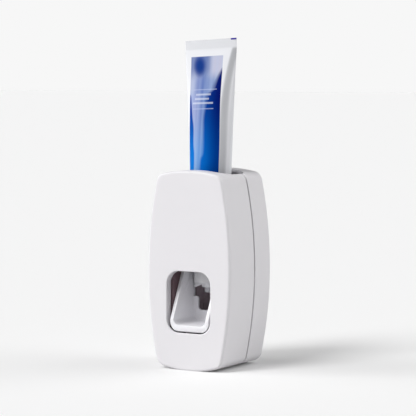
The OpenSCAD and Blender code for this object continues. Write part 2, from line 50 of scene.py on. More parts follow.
# Sizes in millimetres. The photo shows the body 1.5 wider and the groove 0.4 wider than the solids have them.
body = dict(width=71.9, height=150, end=53.6, topCrown=3.2, baseCrown=4.2, footCut=0.8, corner=8, wall=2.2)
frontY, partY, rearY, backY = -31.4, 5.45, 7.05, 31.4
edgeR, rimR = 2.0, 0.45
window = dict(width=37.9, height=46.5, midZ=51.15, corner=10, flangeDepth=6.4, flangeT=1.5, flangeFrom=32.9)
mouth = dict(halfWidth=24.5, front=-19.4, back=16.6, corner=11)
tabs = dict(midZ=67.5, half=4.5, slotHalf=5.1)
tabBands = [((2.5, 4.0), (0.6, 11.6)), ((1.2, 3.6), (0.6, 5.3))]        # (insets, Y) of each strip
tongueBands = [((2.5, 4.0), (2.6, 10.8)), ((1.3, 3.4), (7.2, 10.5))]
bosses = dict(xs=(-22.6, 22.6), zs=(26, 108), front=22.0, radius=3.5, bore=1.3)
padRecess = dict(centres=[(0, 47), (0, 103)], size=(40.6, 34.6), depth=0.8)

# A wear value of -1 marks the tongue's strips in the groove, which get painted shade: a brown grey standing for
# the groove's shadow.
grooveShadeFlag = -1.0
paintedGrooveShade = [0.05, 0.036, 0.04]


# Rises smoothly from 0 to 1: three times the square less twice the cube.
def ease(share):
    t = np.clip(share, 0, 1)
    return t * t * (3 - 2 * t)


# Meshes

def gridQuads(rows, cols, closedRows=False):
    r = np.arange(rows if closedRows else rows - 1)[:, None]
    c = np.arange(cols)[None, :]
    up, right = (r + 1) % rows, (c + 1) % cols
    quads = np.stack([r * cols + c, r * cols + right, up * cols + right, up * cols + c], -1)
    return quads.reshape(-1, 4).tolist()


# Joins parts, each (points in mm, faces, wear per point, with -1 for painted groove shade), into one mesh with
# outward faces.
def buildMesh(name, parts, sharpAngle=40):
    points, faces, wearAndShade = [], [], []
    for partPoints, partFaces, partWearAndShade in parts:
        base = sum(len(p) for p in points)
        faces += [[i + base for i in f] for f in partFaces]
        points.append(np.asarray(partPoints, float).reshape(-1, 3))
        wearAndShade.append(np.broadcast_to(partWearAndShade, len(points[-1])))
    mesh = bpy.data.meshes.new(name)
    mesh.from_pydata((np.concatenate(points) * mm).tolist(), [], faces)
    layer = mesh.attributes.new("wearAndShade", "FLOAT", "POINT")
    layer.data.foreach_set("value", np.concatenate(wearAndShade).astype(np.float32))
    work = bmesh.new()
    work.from_mesh(mesh)
    bmesh.ops.recalc_face_normals(work, faces=work.faces)
    work.to_mesh(mesh)
    work.free()
    mesh.shade_smooth()
    mesh.set_sharp_from_angle(angle=math.radians(sharpAngle))
    return mesh


def addPiece(name, mesh, bodyName, material, nodes):
    piece = bpy.data.objects.new(name, mesh)
    scene.collection.objects.link(piece)
    mesh.materials.clear()
    mesh.materials.append(material)
    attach(piece, bodyName)
    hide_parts(*nodes)
    return piece


# Quads between rings of equally many points, with the ends capped unless the rings themselves close.
def ringPart(rings, closedRows=False, wearAndShade=0.0):
    rings = np.asarray(rings, float)
    rows, cols = rings.shape[:2]
    faces = gridQuads(rows, cols, closedRows)
    if not closedRows:
        faces.append(list(range(cols))[::-1])
        faces.append(list(range((rows - 1) * cols, rows * cols)))
    return rings.reshape(-1, 3), faces, wearAndShade


# Outline of the body: four arcs with rounded corners, as a function of arc length. A corner's centre is where
# the circles of two arcs, each with its radius less the corner's, meet.

def circlesMeet(a, ra, b, rb, side):
    gapX, gapZ = b[0] - a[0], b[1] - a[1]
    d = math.hypot(gapX, gapZ)
    along = (ra * ra - rb * rb + d * d) / (2 * d)
    off = math.sqrt(ra * ra - along * along)
    ux, uz = gapX / d, gapZ / d
    return (a[0] + ux * along - side * off * uz, a[1] + uz * along + side * off * ux)


def bearing(a, b):
    return math.atan2(b[1] - a[1], b[0] - a[0])


halfEnd = body["end"] / 2
sag = body["width"] / 2 - halfEnd
midZ = body["height"] / 2 - body["footCut"] / 2
sideR = (((body["height"] + body["footCut"]) / 2) ** 2 + sag ** 2) / (2 * sag)
topR = (halfEnd ** 2 + body["topCrown"] ** 2) / (2 * body["topCrown"])
baseR = (halfEnd ** 2 + body["baseCrown"] ** 2) / (2 * body["baseCrown"])
sideC = (body["width"] / 2 - sideR, midZ)
topC = (0, body["height"] - topR)
baseC = (0, baseR - body["footCut"])
cornerR = body["corner"]
topCorner = circlesMeet(sideC, sideR - cornerR, topC, topR - cornerR, 1)
baseCorner = circlesMeet(sideC, sideR - cornerR, baseC, baseR - cornerR, -1)
arcs = np.array([
    (*baseC, baseR, -math.pi / 2, bearing(baseC, baseCorner)),
    (*baseCorner, cornerR, bearing(baseC, baseCorner), bearing(sideC, baseCorner)),
    (*sideC, sideR, bearing(sideC, baseCorner), bearing(sideC, topCorner)),
    (*topCorner, cornerR, bearing(sideC, topCorner), bearing(topC, topCorner)),
    (*topC, topR, bearing(topC, topCorner), math.pi / 2),
])
arcEnds = np.cumsum(arcs[:, 2] * (arcs[:, 4] - arcs[:, 3]))
halfLength = arcEnds[-1]


# X and Z of the outline moved inwards by inset, at arc length s from the middle of the foot: centre of the arc
# plus (radius less inset) times cosine and sine of the angle.
def outlineAt(s, inset):
    s = np.mod(s, 2 * halfLength)
    left = s > halfLength
    t = np.where(left, 2 * halfLength - s, s)
    k = np.minimum(np.searchsorted(arcEnds, t, side="right"), 4)
    cx, cz, r, start, _ = arcs[k].T
    angle = start + (t - np.where(k > 0, arcEnds[k - 1], 0)) / r
    x = cx + (r - inset) * np.cos(angle)
    z = cz + (r - inset) * np.sin(angle)
    return np.where(left, -x, x), z


topS = np.linspace(arcEnds[2], halfLength, 2000)
topX = outlineAt(topS, 0)[0]
topS, topX = topS[np.argmax(topX):][::-1], topX[np.argmax(topX):][::-1]


def arcLengthAtX(x):
    return np.interp(x, topX, topS)


def place(s, y, inset):
    x, z = outlineAt(s, inset)
    return np.stack([x, np.broadcast_to(y, x.shape), np.maximum(z, 0)], -1)


# Mirrors half a rim path, from the middle of the foot to the middle of the top, in arc length and Y.
def closePath(half):
    s, y = np.array(half).T
    return np.concatenate([s, 2 * halfLength - s[-2:0:-1]]), np.concatenate([y, y[-2:0:-1]])


# Unit direction square to a rim path, on the outline's surface.
def pathSide(s, y, turn):
    ds = np.roll(s, -1) - np.roll(s, 1)
    ds = np.mod(ds + halfLength, 2 * halfLength) - halfLength
    dy = np.roll(y, -1) - np.roll(y, 1)
    size = np.hypot(ds, dy)
    return -turn * dy / size, turn * ds / size


# Rim profile as (distance back from the rim path, inset), and a face's fillet as (inset, drop).
quarter = np.radians([22.5, 45, 67.5, 90])
rimReach = rimR + 0.3
rimProfile = [(rimReach, 0), (rimR, 0)]
rimProfile += [(rimR - rimR * math.sin(a), rimR - rimR * math.cos(a)) for a in quarter]
rimProfile.append((0, body["wall"] - rimR))
rimProfile += [(rimR - rimR * math.cos(a), body["wall"] - rimR + rimR * math.sin(a)) for a in quarter]
filletSteps = 8
fillet = [(edgeR * (1 - math.sin(a)), edgeR * (1 - math.cos(a)))
          for a in np.radians(np.linspace(0, 90, filletSteps + 1))]
mouthStraight = mouth["halfWidth"] - mouth["corner"]
mouthS = float(arcLengthAtX(mouth["halfWidth"]))
straightS = float(arcLengthAtX(mouthStraight))


# Rows of a shell are pairs (ring of points, wear). These lie at shares of the way from start to end.
def rowsBetween(start, end, inset, shares):
    (s0, y0), (s1, y1) = start, end
    return [(place(s0 + (s1 - s0) * t, y0 + (y1 - y0) * t, inset), 0) for t in shares]


def filletRows(s, y, towardsRim):
    return [(place(s, y + towardsRim * drop, inset), math.sin(math.pi * k / filletSteps))
            for k, (inset, drop) in enumerate(fillet)]


def rimRows(s, y, side):
    return [(place(s - d * side[0], y - d * side[1], inset), 1.0 if inset < rimR + 0.01 else 0.3)
            for d, inset in rimProfile]


def shellPart(rows, closedRows=False):
    rings = np.array([row for row, _ in rows])
    wearAndShade = np.repeat([w for _, w in rows], rings.shape[1])
    return ringPart(rings, closedRows, wearAndShade)


# A strip with a rounded rectangular section in inset and Y, swept along the outline.
def sweepBand(span, insets, ys, steps, wearAndShade=0.0):
    r = 0.3
    section = []
    for cornerInset, cornerY, start in ((1, 1, 0), (0, 1, 90), (0, 0, 180), (1, 0, 270)):
        for a in np.radians([start, start + 45, start + 90]):
            section.append((
                insets[cornerInset] + (-r if cornerInset else r) + r * math.cos(a),
                ys[cornerY] + (-r if cornerY else r) + r * math.sin(a),
            ))
    section = np.array(section)
    rings = [place(np.full(len(section), s), section[:, 1], section[:, 0])
             for s in np.linspace(*span, steps)]
    return ringPart(rings, wearAndShade=wearAndShade)


# Nodes of the materials

def nodeTree(material):
    material.use_nodes = True
    tree = material.node_tree
    tree.nodes.clear()
    out = tree.nodes.new("ShaderNodeOutputMaterial")
    shader = tree.nodes.new("ShaderNodeBsdfPrincipled")
    tree.links.new(shader.outputs["BSDF"], out.inputs["Surface"])
    return tree, shader


def feed(tree, socket, value):
    if isinstance(value, bpy.types.NodeSocket):
        tree.links.new(value, socket)
    elif hasattr(socket.default_value, "__len__") and not hasattr(value, "__len__"):
        socket.default_value = [value] * len(socket.default_value)
    elif hasattr(value, "__len__") and len(socket.default_value) == 4 and len(value) == 3:
        socket.default_value = (*value, 1)
    else:
        socket.default_value = value


def mathNode(tree, operation, *values, clamp=False):
    node = tree.nodes.new("ShaderNodeMath")
    node.operation = operation
    node.use_clamp = clamp
    for socket, value in zip(node.inputs, values):
        feed(tree, socket, value)
    return node.outputs[0]


def smoothStep(tree, value, low, high, toLow=0.0, toHigh=1.0):
    node = tree.nodes.new("ShaderNodeMapRange")
    node.interpolation_type = "SMOOTHSTEP"
    names = "Value", "From Min", "From Max", "To Min", "To Max"
    for name, v in zip(names, (value, low, high, toLow, toHigh)):
        feed(tree, node.inputs[name], v)
    return node.outputs["Result"]


def mixColors(tree, factor, a, b):
    node = tree.nodes.new("ShaderNodeMix")
    node.data_type = "RGBA"
    feed(tree, node.inputs["Factor"], factor)
    feed(tree, node.inputs["A"], a)
    feed(tree, node.inputs["B"], b)
    return node.outputs["Result"]


def noiseNode(tree, vector, scale, detail=2.0, rough=0.5, distortion=0.0, stretch=None):
    if stretch:
        mapping = tree.nodes.new("ShaderNodeMapping")
        tree.links.new(vector, mapping.inputs["Vector"])
        mapping.inputs["Scale"].default_value = stretch
        vector = mapping.outputs["Vector"]
    node = tree.nodes.new("ShaderNodeTexNoise")
    tree.links.new(vector, node.inputs["Vector"])
    node.inputs["Scale"].default_value = scale
    node.inputs["Detail"].default_value = detail
    node.inputs["Roughness"].default_value = rough
    node.inputs["Distortion"].default_value = distortion
    return node.outputs["Fac"]


def objectCoords(tree):
    return tree.nodes.new("ShaderNodeTexCoord").outputs["Object"]


def attribute(tree, name):
    node = tree.nodes.new("ShaderNodeAttribute")
    node.attribute_name = name
    return node.outputs["Fac"]


def bumpNode(tree, height, strength, distance):
    node = tree.nodes.new("ShaderNodeBump")
    node.inputs["Strength"].default_value = strength
    node.inputs["Distance"].default_value = distance
    tree.links.new(height, node.inputs["Height"])
    return node.outputs["Normal"]


# Levels of 0 to 255 as the eye sees them, made linear.
def sRGB(*levels):
    return tuple(c / 255 / 12.92 if c <= 10 else ((c / 255 + 0.055) / 1.055) ** 2.4 for c in levels)


# Moulded plastic: slow tone drift, fine grain, handling marks in the gloss, polished edges, and painted
# brown-grey shade where the wear value is -1.
# With a deep colour the tone changes from deepFrom to deepTo mm along Y, as painted light deeper in.
def plastic(name, color, roughness, grain=0.25, deepPaintedLight=None, deepFrom=0, deepTo=1):
    material = bpy.data.materials.new(name)
    tree, shader = nodeTree(material)
    coords = objectCoords(tree)
    drift = noiseNode(tree, coords, 22, 3)
    tone = mixColors(tree, drift, [c * 0.975 for c in color], [min(1, c * 1.02) for c in color])
    # Painted light: deeper along Y the tone turns to the paler deep colour.
    if deepPaintedLight:
        depth = tree.nodes.new("ShaderNodeSeparateXYZ")
        tree.links.new(coords, depth.inputs[0])
        deep = smoothStep(tree, depth.outputs["Y"], deepFrom * mm, deepTo * mm)
        tone = mixColors(tree, deep, tone, deepPaintedLight)
    wearAndShadeMark = attribute(tree, "wearAndShade")
    # Painted shade: points whose wear value is -1 turn brown grey.
    tone = mixColors(tree, mathNode(tree, "LESS_THAN", wearAndShadeMark, grooveShadeFlag / 2), tone, paintedGrooveShade)
    edgeNoise = noiseNode(tree, coords, 240, 3)
    edge = mathNode(tree, "MULTIPLY", wearAndShadeMark, smoothStep(tree, edgeNoise, 0.35, 0.75), clamp=True)
    polished = [min(1, c * 1.08 + 0.01) for c in color]
    tone = mixColors(tree, mathNode(tree, "MULTIPLY", edge, 0.25), tone, polished)
    feed(tree, shader.inputs["Base Color"], tone)
    smudge = noiseNode(tree, coords, 55, 4, 0.6, 0.4)
    scratch = noiseNode(tree, coords, 420, 2, stretch=(1.0, 1.0, 0.12))
    rough = mathNode(tree, "ADD", smoothStep(tree, smudge, 0.3, 0.7, roughness - 0.05, roughness + 0.06),
                     smoothStep(tree, scratch, 0.62, 0.75, 0, 0.05))
    rough = mathNode(tree, "SUBTRACT", rough, mathNode(tree, "MULTIPLY", edge, 0.08))
    feed(tree, shader.inputs["Roughness"], rough)
    fine = noiseNode(tree, coords, 2600, 2)
    wave = noiseNode(tree, coords, 45, 1)
    height = mathNode(tree, "ADD", mathNode(tree, "MULTIPLY", fine, 0.35), wave)
    feed(tree, shader.inputs["Normal"], bumpNode(tree, height, grain, 0.08 * mm))
    return material


def metal(name, color, roughness):
    material = bpy.data.materials.new(name)
    tree, shader = nodeTree(material)
    coords = objectCoords(tree)
    brushed = noiseNode(tree, coords, 900, 2, stretch=(1, 0.15, 1))
    feed(tree, shader.inputs["Base Color"], mixColors(tree, brushed, [c * 0.85 for c in color], color))
    shader.inputs["Metallic"].default_value = 1
    rough = smoothStep(tree, brushed, 0.3, 0.7, roughness - 0.08, roughness + 0.1)
    feed(tree, shader.inputs["Roughness"], rough)
    feed(tree, shader.inputs["Normal"], bumpNode(tree, brushed, 0.3, 0.04 * mm))
    return material


def foam(name, color):
    material = bpy.data.materials.new(name)
    tree, shader = nodeTree(material)
    coords = objectCoords(tree)
    cells = tree.nodes.new("ShaderNodeTexVoronoi")
    tree.links.new(coords, cells.inputs["Vector"])
    cells.inputs["Scale"].default_value = 1400
    walls = smoothStep(tree, cells.outputs["Distance"], 0.1, 0.7)
    feed(tree, shader.inputs["Base Color"], mixColors(tree, walls, color, [c * 1.7 for c in color]))
    shader.inputs["Roughness"].default_value = 0.85
    feed(tree, shader.inputs["Normal"], bumpNode(tree, cells.outputs["Distance"], 0.6, 0.2 * mm))
    return material


shellWhite = plastic("shellWhite", (0.765, 0.751, 0.776), 0.42)
leverGrey = plastic("leverGrey", (0.85, 0.845, 0.875), 0.40)
pumpGrey = plastic("pumpGrey", (0.78, 0.78, 0.80), 0.45)
# Painted shade and light: the frame's dark brown stands for shade inside the window, its paler tone deeper
# along Y for light.
framePaintedShading = plastic("framePaintedShading", (0.14, 0.085, 0.098), 0.55,
                     deepPaintedLight=(0.62, 0.52, 0.57), deepFrom=2, deepTo=14)
silicone = plastic("siliconeGrey", (0.50, 0.50, 0.52), 0.6, grain=0.1)
rubberBlack = plastic("bumperRubber", (0.03, 0.03, 0.032), 0.7)
tubeCapWhite = plastic("tubeCapWhite", (0.78, 0.78, 0.79), 0.35)
steel = metal("steelPlain", (0.62, 0.63, 0.65), 0.32)
padFoam = foam("padFoam", (0.05, 0.05, 0.055))
print("materials made")


# Front shell: a closed ring surface from the window's edge over face and sides to the rim, and back inside.

# The window's outline moved outwards by grow, where a ray from its centre at that angle meets it: a straight
# side at half the width over the cosine or half the height over the sine, and in a corner the far crossing with
# its circle.
def windowAt(angle, grow):
    c, s = np.cos(angle), np.sin(angle)
    a, b, r = window["width"] / 2 + grow, window["height"] / 2 + grow, window["corner"] + grow
    t = np.minimum(a / np.maximum(np.abs(c), 1e-9), b / np.maximum(np.abs(s), 1e-9))
    along = (a - r) * np.abs(c) + (b - r) * np.abs(s)
    curved = along + np.sqrt(np.maximum(along ** 2 - (a - r) ** 2 - (b - r) ** 2 + r * r, 0))
    inCorner = (t * np.abs(c) > a - r) & (t * np.abs(s) > b - r)
    t = np.where(inCorner, curved, t)
    return t * c, window["midZ"] + t * s


def makeFrontShell():
    turn = 0.8
    half = [(s, partY) for s in np.linspace(0, mouthS - turn, 200)]
    half += [(mouthS - turn + turn * math.sin(a), partY - turn + turn * math.cos(a)) for a in quarter]
    turnEnd = len(half) - 1
    half += [(mouthS, y) for y in np.linspace(partY - turn, mouth["front"] + mouth["corner"], 16)[1:]]
    sideEnd = len(half) - 1
    for a in np.radians(np.linspace(0, 90, 16))[1:]:
        x = mouthStraight + mouth["corner"] * math.cos(a)
        half.append((float(arcLengthAtX(x)), mouth["front"] + mouth["corner"] * (1 - math.sin(a))))
    cornerEnd = len(half) - 1
    half += [(s, mouth["front"]) for s in np.linspace(straightS, halfLength, 15)[1:]]

    # The face's edge has as many points as the rim, spread so that they slide past the mouth's corner.
    s, y = np.array(half).T
    q = np.concatenate([[0], np.cumsum(np.hypot(np.diff(s), np.diff(y)))])
    knots = [0, q[np.searchsorted(s, mouthS - 30)], q[turnEnd], q[sideEnd], q[cornerEnd], q[-1]]
    faceHalf = np.interp(q, knots, [0, mouthS - 30, mouthS - 15, mouthS - 3, straightS, halfLength])
    faceS = np.concatenate([faceHalf, 2 * halfLength - faceHalf[-2:0:-1]])
    s, y = closePath(half)
    side = pathSide(s, y, 1)
    wall = body["wall"]

    edgeX, edgeZ = outlineAt(faceS, edgeR)
    angle = np.arctan2(edgeZ - window["midZ"], edgeX)

    def windowRow(grow, depth):
        x, z = windowAt(angle, grow)
        return np.stack([x, frontY + np.broadcast_to(depth, x.shape), z], -1)

    rows = [(windowRow(0.7, 0), 0.6), (windowRow(1.1, 0), 0.2)]
    inner, outer = windowRow(1.1, 0), place(faceS, frontY, edgeR + 0.4)
    rows += [(inner + (outer - inner) * t, 0) for t in (0.25, 0.5, 0.75, 1)]
    rows += filletRows(faceS, frontY, 1)
    start, end = (faceS, frontY + edgeR), (s - rimReach * side[0], y - rimReach * side[1])
    rows += rowsBetween(start, end, 0, (0.02, 0.15, 0.3, 0.45, 0.6, 0.75, 0.9))
    rows += rimRows(s, y, side)
    start, end = (faceS, frontY + wall), (s - rimR * side[0], y - rimR * side[1])
    rows += rowsBetween(start, end, wall, (0.75, 0.5, 0.25, 0.0))
    outer, inner = place(faceS, frontY + wall, wall + 0.3), windowRow(1.9, wall)
    rows += [(outer + (inner - outer) * t, 0) for t in (0, 0.5, 1)]

    # The flange grows out of the wall above flangeFrom. Its rows go from the wall over its rear edge, which
    # lift rounds where there is room, and forwards to the rounded edge of the window.
    deep = ease((windowAt(angle, 0)[1] - window["flangeFrom"] + 0.5) / 3)
    depth = wall + (window["flangeDepth"] - wall) * deep
    lift = np.minimum(1, (depth - wall) / 0.4)
    thick = window["flangeT"]
    rows += [
        (windowRow(thick + 0.05, wall + 0.3 * lift), 0), (windowRow(thick, depth - 0.4 * lift), 0),
        (windowRow(thick - 0.12, depth - 0.12 * lift), 0.3), (windowRow(thick - 0.4, depth), 0.3),
        (windowRow(0.4, depth), 0.3), (windowRow(0.12, depth - 0.12), 0.3), (windowRow(0, depth - 0.4), 0.3),
        (windowRow(0, 0.9), 0.3), (windowRow(0, 0.7), 0.6), (windowRow(0.05, 0.43), 1),
        (windowRow(0.2, 0.2), 1), (windowRow(0.43, 0.05), 1),
    ]
    parts = [shellPart(rows, closedRows=True)]
    for span in tabSpans(tabs["half"]):
        parts += [sweepBand(span, insets, ys, 6) for insets, ys in tabBands]
    mesh = buildMesh("frontCover", parts)
    addPiece("frontCover", mesh, "cover", shellWhite, ["front_shell"])


def sideArcLength(z):
    s = np.linspace(arcEnds[1], arcEnds[2], 500)
    return float(np.interp(z, outlineAt(s, 0)[1], s))


def tabSpans(half):
    low, high = sideArcLength(tabs["midZ"] - half), sideArcLength(tabs["midZ"] + half)
    return [(low, high), (2 * halfLength - high, 2 * halfLength - low)]


makeFrontShell()
print("front shell made")


# Rear shell: a cup from the middle of the back over the sides to the rim, and back inside, with the tongue's
# strips in the groove, painted in brown-grey shade and left out at the tabs' slots and the mouth.

def makeRearShell():
    cornerEnd = mouth["back"] - mouth["corner"]
    firstAngle = math.asin((rearY - cornerEnd) / mouth["corner"])
    firstX = mouthStraight + mouth["corner"] * math.cos(firstAngle)
    half = [(s, rearY) for s in np.linspace(0, float(arcLengthAtX(firstX)), 220)]
    for a in np.linspace(firstAngle, math.pi / 2, 20)[1:]:
        x = mouthStraight + mouth["corner"] * math.cos(a)
        half.append((float(arcLengthAtX(x)), cornerEnd + mouth["corner"] * math.sin(a)))
    half += [(s, mouth["back"]) for s in np.linspace(straightS, halfLength, 15)[1:]]
    s, y = closePath(half)
    side = pathSide(s, y, -1)
    wall = body["wall"]
    rows = [(place(s, backY, edgeR + 0.4), 0)]
    rows += filletRows(s, backY, -1)
    start, end = (s, backY - edgeR), (s - rimReach * side[0], y - rimReach * side[1])
    rows += rowsBetween(start, end, 0, (0.03, 0.2, 0.4, 0.6, 0.8))
    rows += rimRows(s, y, side)
    start, end = (s, backY - wall), (s - rimR * side[0], y - rimR * side[1])
    rows += rowsBetween(start, end, wall, (0.6, 0.3, 0.0))
    parts = [shellPart(rows)]
    low, high = tabSpans(tabs["slotHalf"])[0]
    mouthEnd = float(arcLengthAtX(mouth["halfWidth"] + 0.2))
    spans = [(high, mouthEnd), (2 * halfLength - mouthEnd, 2 * halfLength - high)]
    spans.append((2 * halfLength - low, 2 * halfLength + low))
    for span in spans:
        steps = int((span[1] - span[0]) / 1.5) + 2
        # The tongue's strips carry the painted groove shade.
        parts += [sweepBand(span, insets, ys, steps, wearAndShade=grooveShadeFlag) for insets, ys in tongueBands]
    parts += [bossPart(x, z) for x in bosses["xs"] for z in bosses["zs"]]
    mesh = buildMesh("rearBody", parts)
    piece = addPiece("rearBody", mesh, "chassis", shellWhite, ["rear_shell"])
    cutRecesses(piece)


# A screw boss: a tube along Y, closed at the wall, with a rounded front edge and a blind bore.
def bossPart(x, z):
    r, bore, y0, y1 = bosses["radius"], bosses["bore"], bosses["front"], backY - body["wall"] + 0.6
    turns = np.linspace(0, 2 * math.pi, 48, endpoint=False)
    profile = [(r, y1), (r, y0 + 0.3), (r - 0.09, y0 + 0.09), (r - 0.3, y0),
               (bore + 0.2, y0), (bore, y0 + 0.2), (bore, y1 - 1.5)]
    return ringPart([
        np.stack([x + radius * np.cos(turns), np.full(len(turns), y), z + radius * np.sin(turns)], -1)
        for radius, y in profile
    ])


def cutRecesses(piece):
    width, height = padRecess["size"]
    cutters = []
    for x, z in padRecess["centres"]:
        lo = (x - width / 2, backY - padRecess["depth"], z - height / 2)
        hi = (x + width / 2, backY + 1, z + height / 2)
        corners = [[i, j, k] for i in (lo[0], hi[0]) for j in (lo[1], hi[1]) for k in (lo[2], hi[2])]
        sides = [[0, 1, 3, 2], [4, 6, 7, 5], [0, 4, 5, 1], [2, 3, 7, 6], [0, 2, 6, 4], [1, 5, 7, 3]]
        cutters.append((corners, sides, 0.0))
    cutter = bpy.data.objects.new("recessCutter", buildMesh("recessCutter", cutters))
    scene.collection.objects.link(cutter)
    cut = piece.modifiers.new("recess", "BOOLEAN")
    cut.operation = "DIFFERENCE"
    cut.solver = "EXACT"
    cut.object = cutter
    applyModifiers(piece)
    bpy.data.objects.remove(cutter)


def applyModifiers(piece, sharpAngle=40):
    bpy.context.view_layer.update()
    graph = bpy.context.evaluated_depsgraph_get()
    mesh = bpy.data.meshes.new_from_object(
        piece.evaluated_get(graph), preserve_all_data_layers=True, depsgraph=graph)
    piece.modifiers.clear()
    piece.data = mesh
    mesh.shade_smooth()
    mesh.set_sharp_from_angle(angle=math.radians(sharpAngle))


makeRearShell()
print("rear shell made")


# Pieces whose solid has the right shape get its mesh with softened edges.

def softCopy(node, name, bevel, bodyName, slotName, material):
    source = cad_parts[node].data
    work = bmesh.new()
    work.from_mesh(source)
    bmesh.ops.remove_doubles(work, verts=work.verts, dist=2e-6)
    bmesh.ops.dissolve_limit(work, angle_limit=math.radians(0.8), verts=work.verts, edges=work.edges)
    layer = work.verts.layers.float.new("wearAndShade")
    for vert in work.verts:
        sharpest = max((e.calc_face_angle(0) for e in vert.link_edges), default=0)
        vert[layer] = min(1.0, sharpest / 1.2)
    mesh = bpy.data.meshes.new(name)
    work.to_mesh(mesh)
    work.free()
    piece = addPiece(name, mesh, bodyName, material, [node])
    soft = piece.modifiers.new("edges", "BEVEL")
    soft.width = bevel * mm
    soft.segments = 2
    soft.limit_method = "ANGLE"
    soft.angle_limit = math.radians(32)
    soft.use_clamp_overlap = True
    applyModifiers(piece, 38)
    return piece


# Node of the solid: name, bevel in mm, body, slot and material.
copies = dict(
    # The frame's material carries painted shade and painted light.
    mechanism_frame=("mechanismFrame", 0.3, "chassis", "frame_taupe", framePaintedShading),
    frame_screws=("frameScrews", 0.12, "chassis", "steel", steel),
    pump_housing=("pumpHousing", 0.3, "chassis", "pump_grey", pumpGrey),
    pump_screws=("pumpScrews", 0.12, "chassis", "steel", steel),
    tube_seat=("tubeSeat", 0.2, "chassis", "silicone_grey", silicone),
    seat_retainer=("seatRetainer", 0.2, "chassis", "pump_grey", pumpGrey),
    inlet_valve=("inletValve", 0.1, "chassis", "silicone_grey", silicone),
    diaphragm_clamp=("diaphragmClamp", 0.25, "chassis", "pump_grey", pumpGrey),
    plunger=("pumpPlunger", 0.3, "press", "lever_grey", leverGrey),
    valve_retainer=("nozzleNut", 0.25, "chassis", "pump_grey", pumpGrey),
    outlet_valve=("duckbillNozzle", 0.3, "chassis", "silicone_grey", silicone),
    pusher_lever=("pusherLever", 0.55, "lever", "lever_grey", leverGrey),
    pivot_pin_left=("pivotPinLeft", 0.2, "chassis", "steel", steel),
    pivot_pin_right=("pivotPinRight", 0.2, "chassis", "steel", steel),
    lever_bumper=("leverBumper", 0.3, "chassis", "bumper_rubber", rubberBlack),
    adhesive_pads=("adhesivePads", 0.15, "chassis", "foam_pad", padFoam),
    tube_shoulder=("tubeShoulder", 0.2, "tube", "tube_cap_white", tubeCapWhite),
)
for node, settings in copies.items():
    softCopy(node, *settings)

diaphragm = softCopy("pump_diaphragm", "pumpDiaphragm", 0.1, "chassis", "silicone_grey", silicone)
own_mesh(diaphragm)
print("soft copies made")


spring = dict(coils=4, coilR=6.6, wireR=0.4, axisZ=87.5, front=16.45, back=21.95)


# A round wire on a helix along Y round the plunger's stem, at turn a of the helix and b of the wire:
# x = (coil + wire cos b) cos a, z = axis + (coil + wire cos b) sin a, y = along the helix + wire sin b.
def makeSpring():
    coilR, wireR = spring["coilR"], spring["wireR"]
    k = np.linspace(0, 1, 240)
    a = 2 * math.pi * spring["coils"] * k
    b = np.linspace(0, 2 * math.pi, 12, endpoint=False)
    start, end = spring["front"] + wireR, spring["back"] - wireR
    out = wireR * np.cos(b)[None, :]
    x = (coilR + out) * np.cos(a)[:, None]
    z = spring["axisZ"] + (coilR + out) * np.sin(a)[:, None]
    y = (start + (end - start) * k)[:, None] + wireR * np.sin(b)[None, :]
    mesh = buildMesh("returnSpring", [ringPart(np.stack([x, y, z], -1), wearAndShade=0.5)])
    piece = addPiece("returnSpring", mesh, "chassis", steel, ["return_spring"])
    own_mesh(piece)


makeSpring()
print("spring made")


# Tube sleeve: round at the shoulder, flat at the crimp, with the arc length from the front centre as its U.

tube = dict(
    radius=14.3, length=135.2, base=105.0, crimpH=7.6, crimpT=1.4,
    lean=math.tan(math.radians(2.9)), shift=0.9, shiftDone=0.35,
)
laminateSpan = 100.0, 300.0   # mm of arc and of height that one unit of U and V stands for


